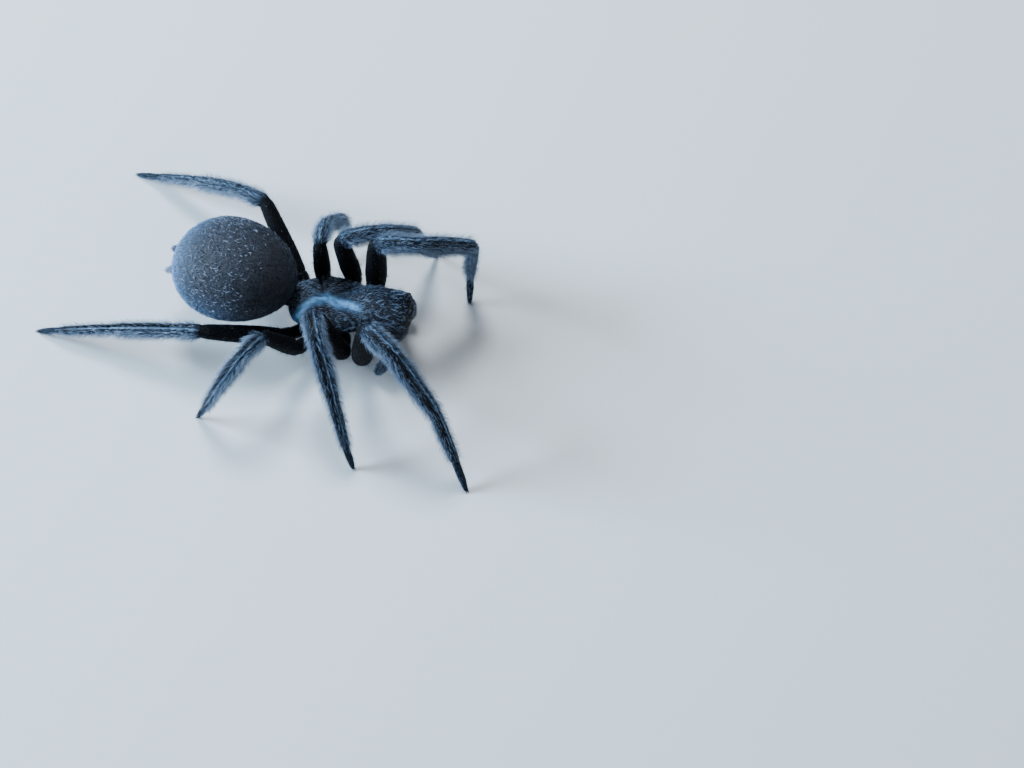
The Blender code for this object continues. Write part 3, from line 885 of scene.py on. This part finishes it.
def charcoal_fur():
    """Make the fur of the abdomen, jaws and underside: near black, with whitish long hairs and a
    colour for the abdomen's painted blue sheen.
    """
    return fur_material(
        "body_fur", dark=(0.0015, 0.0018, 0.005), pale=(0.04, 0.05, 0.125),
        tip=(0.62, 0.7, 0.86), painted_light_tint=(0.2, 0.4, 0.74), rough=0.6, specular=0.12,
    )


def crest_fur_and_sheen():
    """Make the fur of the carapace, with its band of painted blue sheen."""
    return fur_material(
        "crest_fur", dark=(0.004, 0.006, 0.012), pale=(0.055, 0.105, 0.23),
        tip=(0.5, 0.64, 0.8), painted_light_tint=(0.2, 0.6, 1.0), rough=0.42, specular=0.3,
    )


def plain_region(surface, along, turn):
    """Tag a skin that is furred all over."""
    tags = np.zeros((len(along), 4))
    tags[:, 3] = 1.0
    return tags


def bare_region(surface, along, turn):
    """Tag a skin that is bare all over."""
    tags = plain_region(surface, along, turn)
    tags[:, 1] = 1.0
    return tags


class Leg(Tube):
    """A leg in its stance, with the half width of its dark band."""

    def __init__(self, name):
        self.joints = leg_joints(name)
        self.band = DARK_BAND[name.split("_")[0]]
        girth = LEG_GIRTH[int(name[-1])]
        super().__init__(self.joints, LEG_BENDS, LEG_PROFILE, girth, *LEG_ENDS)


def leg_joints(name):
    """Return the seven joints of a leg, from the coxa's root to the claws."""
    pair = int(name[-1])
    forward, sideways, height = COXA_ROOTS[pair]
    start, headings, rises = STANCE[name]
    sign = 1 if name.startswith("left") else -1
    joints = [np.array([forward, sign * sideways, height]), np.array(start)]
    lengths = SEGMENTS[pair]
    for length, yaw, rise in zip(lengths[:4], headings[:4], rises):
        joints.append(joints[-1] + polar(yaw, rise, length))
    drop = joints[-1][2] - TIP_HEIGHT
    last_rise = -np.degrees(np.arcsin(min(1.0, drop / lengths[4])))
    joints.append(joints[-1] + polar(headings[4], last_rise, lengths[4]))
    return joints


def leg_region(leg, along, turn):
    """Tag a leg's black joints and femur, its bare coxa and dark band, and its line of painted
    highlight.
    """
    mark = leg.mark(along)
    tags = plain_region(leg, along, turn)
    even = np.linspace(0.0, leg.length, leg.count)
    for joint in range(1, 6):
        place = np.interp(joint, leg.marks, even)
        tags[:, 0] += bell(along - place, JOINT_BLACK_WIDTH)
    tags[:, 0] = np.clip(tags[:, 0] + 1.0 - eased(*KNEE, mark), 0.0, 1.0)
    tags[:, 1] = np.maximum(1.0 - eased(*COXA_ENDS, mark), bare_lines(leg, mark, turn))
    tags[:, 2] = painted_highlight_line(leg, mark, turn)
    return tags


def bare_lines(leg, mark, turn):
    """Return the dark band along the top of a leg and the lines along its flanks."""
    away = np.abs(turn % 1.0 - TOP_TURN)
    top = 1.0 - eased(leg.band * 0.8, leg.band * 1.3, away)
    flank = bell(away - FLANK_LINE, FLANK_LINE_WIDTH) * FLANK_LINE_DEPTH
    return np.maximum(top, flank) * eased(2.12, 2.3, mark) * (1 - eased(4.85, 5.0, mark))


def painted_highlight_line(leg, mark, turn):
    """Return the line of painted highlight that runs along the dark band of a leg."""
    away = np.abs(turn % 1.0 - TOP_TURN - leg.band * HIGHLIGHT_LINE_SHARE)
    return bell(away, HIGHLIGHT_LINE_WIDTH) * eased(2.05, 2.2, mark) * (1 - eased(4.6, 4.9, mark))


def lying_weight(leg, along, turn):
    """Return where a leg's lying hairs are thick: beyond its knee, and clear of its joints."""
    mark = leg.mark(along)
    furred = 0.4 + 0.6 * eased(*KNEE, mark)
    parted = 1.0 - 0.4 * bare_lines(leg, mark, turn) * (1.0 - painted_highlight_line(leg, mark, turn))
    rings = 1.0
    for joint in (3, 4, 5):
        rings = rings - 0.75 * bell(mark - joint, 0.03)
    return furred * parted * rings * eased(*COAT_STARTS, mark)


def fringe_weight(leg, along, turn):
    """Return where a leg's fringe is thick: on its sides and below, beyond its knee."""
    mark = leg.mark(along)
    sides = eased(0.09, 0.2, np.abs(turn % 1.0 - TOP_TURN))
    furred = 0.08 * eased(*COAT_STARTS, mark) + eased(2.0, 2.2, mark)
    return furred * (1 - 0.5 * eased(4.9, 5.1, mark)) * (0.08 + sides)


def lying_hairs(leg, count, random):
    """Grow the hairs that lie along a leg, dark on its femur and band, in pale rows beyond."""
    along, turn = plant(leg, count, random, lying_weight)
    mark = leg.mark(along)
    draw = random.uniform(0.0, 1.0, count)
    furred = eased(*KNEE, mark)
    slim = 1.0 - 0.3 * eased(*METATARSUS, mark) - 0.3 * eased(*TARSUS, mark)
    reach = LYING_FEMUR_LENGTH + LYING_MORE_LENGTH * furred
    length = reach * slim * random.uniform(0.7, 1.25, count)
    lift = np.radians(np.abs(random.normal(LYING_LIFT, LYING_LIFT_SPREAD, count)))
    swirl = np.radians(random.normal(0.0, LYING_SWIRL, count))
    tone = furred * (0.06 + 0.85 * draw ** 1.8) * (1 - 0.94 * bare_lines(leg, mark, turn))
    tone *= 0.85 + 0.5 * np.sin(2 * pi * (PALE_ROWS * turn + 0.2 * np.sin(5.0 * mark)))
    tone *= 1 - 0.5 * eased(*TARSUS, mark)
    # A few pale hairs on the black femur are painted glints.
    tone += (1 - furred) * np.where(draw > 0.97, 0.9, 0.0)
    width = np.full(count, LYING_WIDTH)
    # Most hairs on the line carry the painted highlight.
    painted_highlight = painted_highlight_line(leg, mark, turn) * np.where(draw > 0.35, 1.0, 0.2)
    return grow(leg, along, turn, length, width, lift, lift * 0.9, swirl, tone, painted_highlight)


def fringe_hairs(leg, count, random):
    """Grow the long hairs that stand out from a leg, pale beyond its knee."""
    along, turn = plant(leg, count, random, fringe_weight)
    mark = leg.mark(along)
    slim = 1.0 - 0.15 * eased(*METATARSUS, mark) - 0.5 * eased(*TARSUS, mark)
    slim *= 0.55 + 0.45 * eased(1.9, 2.3, mark)
    length = FRINGE_LENGTH * slim * random.uniform(0.45, 1.2, count)
    lift = np.radians(random.normal(FRINGE_LIFT, FRINGE_LIFT_SPREAD, count))
    swirl = np.radians(random.normal(0.0, FRINGE_SWIRL, count))
    tone = random.uniform(0.6, 1.0, count) * eased(1.9, 2.1, mark)
    width = np.full(count, FRINGE_WIDTH)
    return grow(leg, along, turn, length, width, lift, lift * 0.55, swirl, tone)


def leg_coat(name, leg, count, random):
    """Grow a leg's lying hairs and the longer, paler ones that fringe it."""
    lying_count = int(count * LYING_SHARE)
    lying = lying_hairs(leg, lying_count, random)
    standing = fringe_hairs(leg, count - lying_count, random)
    coat(name + "_fur", leg_fur, [lying, standing])


def build_claws(name, joints):
    """Set the two curved claws at the end of a leg."""
    way = joints[-1] - joints[-2]
    way[2] = 0.0
    way = unit(way)
    side = np.array([-way[1], way[0], 0.0])
    top_ahead, top_aside, top_rise = CLAW_TOP
    tip_ahead, tip_aside, tip_height = CLAW_TIP
    for place, sign in (("inner", 1), ("outer", -1)):
        root = joints[-1] - way * CLAW_BACK + side * sign * CLAW_ASIDE
        top = root + way * top_ahead + side * sign * top_aside + np.array([0.0, 0.0, top_rise])
        tip = root + way * tip_ahead + side * sign * tip_aside
        tip[2] = tip_height
        claw = Tube((root, top, tip), (CLAW_BEND,), CLAW_PROFILE, 1.0, *CLAW_ENDS)
        skin(f"{name}_{place}_claw", claw, 8, cuticle, [], bare_region)


def build_legs(random):
    """Dress the eight legs and give them their claws."""
    for name in STANCE:
        leg = Leg(name)
        nodes = [name + part for part in ("_coxa", "_femur", "_shank", "_foot")]
        skin(name + "_skin", leg, LEG_SIDES, slate, nodes, leg_region)
        leg_coat(name, leg, int(LEG_HAIRS * LEG_GIRTH[int(name[-1])]), random)
        build_claws(name, leg.joints)


def palp_region(palp, along, turn):
    """Tag the palp's bare femur."""
    tags = plain_region(palp, along, turn)
    tags[:, 1] = 1.0 - eased(0.95, 1.1, palp.mark(along))
    return tags


def build_palps(random):
    """Dress the two palps."""
    for side, joints in PALPS.items():
        palp = Tube(joints, PALP_BENDS, PALP_PROFILE, 1.0, *PALP_ENDS)
        nodes = [side + "_palp_femur", side + "_palp_tip"]
        skin(side + "_palp_skin", palp, 20, slate, nodes, palp_region)
        coat(side + "_palp_fur", leg_fur, [
            even_coat(palp, 2200, random, length=0.2, lift=20.0, tone=(0.1, 0.8)),
            even_coat(palp, 400, random, length=0.3, lift=42.0, tone=(0.5, 1.0), width=0.02),
        ])


def seat_eye(head, centre, radius):
    """Return where an eye sits in the skin nearest to it, and the way it looks."""
    along, turn = np.meshgrid(
        np.linspace(FACE_START, CARAPACE_FRONT, EYE_GRID), np.linspace(0.0, 0.5, EYE_GRID),
    )
    point, normal, _, _ = head.directions(along.ravel(), turn.ravel())
    nearest = np.argmin(np.linalg.norm(point - centre, axis=1))
    look = normal[nearest]
    return point[nearest] - look * radius * EYE_SINK, look


def build_eye(name, centre, radius, look):
    """Set a glossy lens and the raised rim around it."""
    bpy.ops.object.select_all(action="DESELECT")
    bpy.ops.mesh.primitive_uv_sphere_add(
        segments=24, ring_count=14, radius=radius * MM, location=to_frame(centre),
    )
    piece = bpy.context.object
    piece.name = name + "_lens"
    bpy.ops.object.shade_smooth()
    bpy.ops.object.transform_apply(location=True, rotation=True, scale=True)
    settle(piece, lens, [name])
    bpy.ops.object.select_all(action="DESELECT")
    tilt = Vector(look).to_track_quat("Z", "Y").to_euler()
    rim_centre = to_frame(centre + look * radius * EYE_RIM_RISE)
    bpy.ops.mesh.primitive_torus_add(
        major_segments=28, minor_segments=8, location=rim_centre, rotation=tilt,
        major_radius=radius * EYE_RIM_REACH * MM, minor_radius=EYE_RIM_RADIUS * MM,
    )
    rim = bpy.context.object
    rim.name = name + "_rim"
    bpy.ops.object.shade_smooth()
    bpy.ops.object.transform_apply(location=True, rotation=True, scale=True)
    settle(rim, cuticle, [])


def build_eyes():
    """Seat the eight eyes on the head, and return their places for the carapace."""
    head = Carapace([])
    eyes = []
    for place in EYE_PLACES:
        for side in ("left", "right"):
            name = f"eye_{place}_{side}"
            low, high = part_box(name)
            radius = (high.z - low.z) / 2 / MM
            middle = ((np.array(low) + np.array(high)) / 2 - SHIFT) / MM
            centre, look = seat_eye(head, middle, radius)
            eyes.append((centre, radius, look))
            build_eye(name, centre, radius, look)
    return eyes


def painted_sheen_band(carapace, along, turn):
    """Return where blue sheen is painted on the carapace: a band on its crest and down its rear,
    mostly on its right side.
    """
    across = carapace.at(along, turn)[:, 1]
    line = np.interp(along, SHEEN_BAND_PLACES, SHEEN_BAND_LINE)
    width = np.interp(along, SHEEN_BAND_PLACES, SHEEN_BAND_WIDTH)
    near = bell(across + line, width)
    far = 0.08 * bell(across - line, width)
    return np.maximum(near, far) * (1.0 - eased(1.1, 1.9, along)) * eased(-3.0, -2.8, along)


def carapace_region(carapace, along, turn):
    """Tag the carapace as bare below its margin, and blue with painted sheen along the band."""
    tags = plain_region(carapace, along, turn)
    upper = eased(-0.1, 0.1, np.sin(2 * pi * turn))
    tags[:, 1] = 1.0 - upper
    tags[:, 2] = 0.8 * painted_sheen_band(carapace, along, turn) * upper
    return tags


def crown(carapace, along, turn):
    """Keep the carapace's coat on its upper side and its face, clear of the eyes."""
    place = carapace.at(along, turn)
    clear = np.ones(len(along))
    for centre, radius, _ in carapace.eyes:
        clear *= eased(radius * 1.1, radius * 1.35, np.linalg.norm(place - centre, axis=1))
    upper = eased(-0.05, 0.1, np.sin(2 * pi * turn))
    return np.maximum(upper, eased(4.2, 4.5, along)) * clear


def sheen_band_crown(carapace, along, turn):
    """Keep the thick hairs of painted blue sheen to the band on the upper side."""
    return painted_sheen_band(carapace, along, turn) ** 2 * crown(carapace, along, turn)


def head_crown(carapace, along, turn):
    """Favour the head for the carapace's pale hairs."""
    return crown(carapace, along, turn) * (0.35 + 0.65 * eased(0.3, 1.6, along))


def short_face(carapace, along, turn):
    """Return how long the carapace's hairs are, least on the face."""
    return 1.0 - 0.65 * eased(3.6, 4.6, along)


def build_carapace(eyes, random):
    """Dress the carapace: a lying coat, a band of painted blue sheen, and pale and standing hairs."""
    carapace = Carapace(eyes)
    skin("carapace_skin", carapace, 96, cuticle, ["carapace"], carapace_region)
    # The lying coat and the thick band hairs carry the band of painted blue sheen.
    coat("carapace_fur", crest_fur, [
        even_coat(carapace, 11000, random, length=0.2, lift=10.0, tone=(0.0, 0.3), weight=crown,
                  spread=14.0, painted_light=painted_sheen_band, slim=short_face),
        even_coat(carapace, 1500, random, length=0.26, lift=9.0, tone=(0.3, 1.0), width=0.03,
                  weight=sheen_band_crown, spread=10.0, painted_light=painted_sheen_band),
        even_coat(carapace, 560, random, length=0.4, lift=12.0, tone=(0.7, 1.0),
                  weight=head_crown, spread=28.0, slim=short_face),
        even_coat(carapace, 320, random, length=0.46, lift=38.0, tone=(0.7, 1.0), width=0.018,
                  weight=head_crown, spread=40.0, slim=short_face),
    ])


def painted_rear_sheen(abdomen, along, turn):
    """Return where blue sheen is painted on the abdomen's nap: over its rear and along its flanks."""
    angle = 2 * pi * turn
    lowered = 2 * pi * (turn + 0.05 * np.sign(np.cos(angle)))
    flank = eased(0.6, 1.0, np.abs(np.cos(lowered)))
    rear = eased(1.75, 2.65, along) * (1.0 - 0.75 * eased(2.75, 3.1, along))
    above = 0.35 + 0.65 * eased(-0.75, -0.2, np.sin(angle))
    beside = 0.3 * flank * eased(0.9, 1.7, along) * (1 - eased(2.7, 3.0, along))
    return np.clip(rear * above + beside, 0, 1)


def clear_of_painted_shade(abdomen, along, turn):
    """Keep the bright hairs off the abdomen's front, which is darkened with painted shade."""
    return eased(0.6, 1.3, along)


def painted_front_shade_and_mottle(abdomen, along, turn):
    """Return the abdomen's tone: painted shade that blackens it towards its front, and clouds and
    flecks behind.
    """
    angle = 2 * pi * turn
    cloud = np.sin(7.0 * along + 2.0 * np.sin(5.0 * angle))
    cloud = cloud * np.cos(6.0 * angle + 3.0 * np.sin(4.0 * along))
    fleck = np.sin(23.0 * along + 3.0 * np.cos(9.0 * angle))
    fleck = fleck * np.sin(19.0 * angle + 5.0 * along)
    return (0.15 + 0.85 * eased(0.5, 1.8, along)) * (1.0 + 0.35 * cloud + 0.3 * fleck)


def build_abdomen(random):
    """Dress the abdomen: a short velvet, bright lying hairs, and loose ones over them."""
    abdomen = Lobe(ABDOMEN_MIDDLE, ABDOMEN_SIZE, ABDOMEN_YAW, ABDOMEN_PITCH, ABDOMEN_EGG,
                   ABDOMEN_RINGS)
    skin("abdomen_skin", abdomen, 64, velvet, ["abdomen"], plain_region)
    # The nap carries painted blue sheen over the rear and flanks, and painted shade that darkens it
    # towards the front.
    coat("abdomen_velvet", body_fur, [
        even_coat(abdomen, 19500, random, length=0.15, lift=22.0, tone=(0.0, 0.28), width=0.028,
                  spread=20.0, painted_light=painted_rear_sheen, shade=painted_front_shade_and_mottle),
    ])
    coat("abdomen_hairs", body_fur, [
        even_coat(abdomen, 600, random, length=0.3, lift=22.0, tone=(0.6, 1.0), width=0.036,
                  weight=clear_of_painted_shade, spread=42.0),
        even_coat(abdomen, 2600, random, length=0.3, lift=24.0, tone=(0.15, 0.9), width=0.022,
                  spread=36.0, shade=painted_front_shade_and_mottle),
        even_coat(abdomen, 10300, random, length=0.2, lift=36.0, tone=(0.0, 0.4), width=0.018,
                  spread=26.0, painted_light=painted_rear_sheen, shade=painted_front_shade_and_mottle),
    ])


def spinneret_path(shell, back, place, down, length, sign):
    """Return the joints of a spinneret that leaves the rear of the shell."""
    turn = np.array([(-90 + sign * down) / 360])
    root = shell.at(np.array([radians(place)]), turn)[0]
    way = unit(back + np.array([0.0, sign * SPINNERET_SPLAY, SPINNERET_FALL]))
    joint = SPINNERET_OUT + length * SPINNERET_JOINT
    tip = SPINNERET_TIP_OUT + length
    return root - way * SPINNERET_ROOT, root + way * joint, root + way * tip


def build_spinnerets(random):
    """Dress the four spinnerets and the tubercle above them."""
    shell = Lobe(ABDOMEN_MIDDLE, ABDOMEN_SHELL, ABDOMEN_YAW, ABDOMEN_PITCH, ABDOMEN_EGG)
    back = -shell.spin[:, 0]
    tufts = []
    for row, place, down, length, radius in SPINNERETS:
        profile = [(mark, radius * share) for mark, share in SPINNERET_PROFILE]
        for side, sign in (("left", 1), ("right", -1)):
            path = spinneret_path(shell, back, place, down, length, sign)
            spinneret = Tube(path, (SPINNERET_BEND,), profile, 1.0, *SPINNERET_ENDS)
            name = f"spinneret_{row}_{side}"
            skin(name + "_skin", spinneret, 20, cuticle, [name], plain_region)
            tufts.append(even_coat(spinneret, 340, random, length=0.42, lift=30.0,
                                   tone=(0.6, 1.0), width=0.022))
    path = [
        shell.at(np.array([place]), np.array([TOP_TURN]))[0] + back * out
        for place, out in TUBERCLE_PLACES
    ]
    tubercle = Tube(path, (SPINNERET_BEND,), TUBERCLE_PROFILE, 1.0, *TUBERCLE_ENDS)
    skin("anal_tubercle", tubercle, 20, cuticle, [], plain_region)
    tufts.append(even_coat(tubercle, 220, random, length=0.3, lift=30.0, tone=(0.3, 1.0),
                           width=0.022))
    coat("spinneret_fur", body_fur, tufts)


def mirrored(joints, sign):
    """Return a left side's joints, or their mirror image when the sign is -1."""
    return [(x, sign * y, z) for x, y, z in joints]


def build_jaws(random):
    """Dress the two chelicerae and set their fangs."""
    for side, sign in (("left", 1), ("right", -1)):
        path = mirrored(CHELICERA_JOINTS, sign)
        chelicera = Tube(path, (CHELICERA_BEND,), CHELICERA_PROFILE, 1.0, *CHELICERA_ENDS)
        nodes = [side + "_chelicera"]
        skin(side + "_chelicera_skin", chelicera, 32, cuticle, nodes, bare_region)
        coat(side + "_chelicera_fur", body_fur, [
            even_coat(chelicera, 1700, random, length=0.2, lift=20.0, tone=(0.0, 0.45), width=0.022),
            even_coat(chelicera, 250, random, length=0.32, lift=38.0, tone=(0.4, 0.9), width=0.018),
        ])
        fang = Tube(mirrored(FANG_JOINTS, sign), (FANG_BEND,), FANG_PROFILE, 1.0, *FANG_ENDS)
        skin(side + "_fang_shell", fang, 16, fang_shell, [side + "_fang"], plain_region)


def build_underside(random):
    """Dress the sternum, the labium and the two maxillae."""
    hairs = []
    for name, middle, size, yaw, pitch, rings, count in UNDERSIDE:
        plate = Lobe(middle, size, yaw, pitch, rings=rings)
        skin(name + "_skin", plate, 32, cuticle, [name], bare_region)
        hairs.append(even_coat(plate, count, random, length=0.2, lift=26.0, tone=(0.05, 0.8),
                               width=0.022))
    coat("underside_fur", body_fur, hairs)


def build_pedicel():
    """Set the waist between the carapace and the abdomen."""
    low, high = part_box("pedicel")
    start = np.array(PEDICEL_START)
    way = unit(np.array(PEDICEL_WAY))
    reach = start[0] - (low.x - SHIFT[0]) / MM + PEDICEL_OVERLAP
    path = (start, start + way * reach * 0.5, start + way * reach)
    pedicel = Tube(path, (PEDICEL_BEND,), PEDICEL_PROFILE, 1.0, *PEDICEL_ENDS)
    skin("pedicel_skin", pedicel, 20, cuticle, ["pedicel"], bare_region)


def build_studio():
    """Lay the floor, hang the lamps and light the world."""
    bpy.ops.object.select_all(action="DESELECT")
    bpy.ops.mesh.primitive_plane_add(size=FLOOR_SIZE, location=(0.0, 0.0, 0.0))
    floor = bpy.context.object
    floor.name = "floor"
    finish, _, _ = node_material("pale_floor", FLOOR_COLOUR, FLOOR_ROUGHNESS)
    floor.data.materials.append(finish)
    for name, place, size, power, colour in LAMPS:
        data = bpy.data.lights.new(name, "AREA")
        data.shape = "DISK"
        data.size = size
        data.energy = power
        data.color = colour
        lamp = bpy.data.objects.new(name, data)
        bpy.context.collection.objects.link(lamp)
        lamp.location = place
        lamp.rotation_mode = "QUATERNION"
        lamp.rotation_quaternion = (-Vector(place)).to_track_quat("-Z", "Y")
    world = bpy.data.worlds.new("studio")
    world.use_nodes = True
    backdrop = world.node_tree.nodes["Background"]
    backdrop.inputs["Color"].default_value = (*WORLD_COLOUR, 1.0)
    backdrop.inputs["Strength"].default_value = WORLD_STRENGTH
    bpy.context.scene.world = world


def build_camera():
    """Stand the camera where the photograph was taken from."""
    data = bpy.data.cameras.new("camera")
    data.sensor_width = CAMERA_SENSOR
    data.lens = CAMERA_SENSOR / 2 / tan(radians(CAMERA_VIEW / 2))
    data.clip_start = CAMERA_NEAR
    data.clip_end = CAMERA_FAR
    camera = bpy.data.objects.new("camera", data)
    bpy.context.collection.objects.link(camera)
    azimuth = radians(CAMERA_AZIMUTH)
    fall = radians(CAMERA_ELEVATION)
    back = Vector((sin(azimuth) * cos(fall), -cos(azimuth) * cos(fall), sin(fall)))
    camera.location = to_frame(np.array(CAMERA_PLACE))
    camera.rotation_mode = "QUATERNION"
    camera.rotation_quaternion = (-back).to_track_quat("-Z", "Y")
    bpy.context.scene.camera = camera


# Materials
fine_grain = grain_group()
fur_colour = fur_group()
cuticle = black_cuticle()
slate = slate_leg()
velvet = charcoal_velvet()
fang_shell = fang_red()
lens = eye_lens()
leg_fur = slate_fur()
body_fur = charcoal_fur()
crest_fur = crest_fur_and_sheen()

# The spider
random = np.random.default_rng(SEED)
build_carapace(build_eyes(), random)
build_abdomen(random)
build_spinnerets(random)
build_legs(random)
build_palps(random)
build_jaws(random)
build_underside(random)
build_pedicel()

# The studio
build_studio()
build_camera()
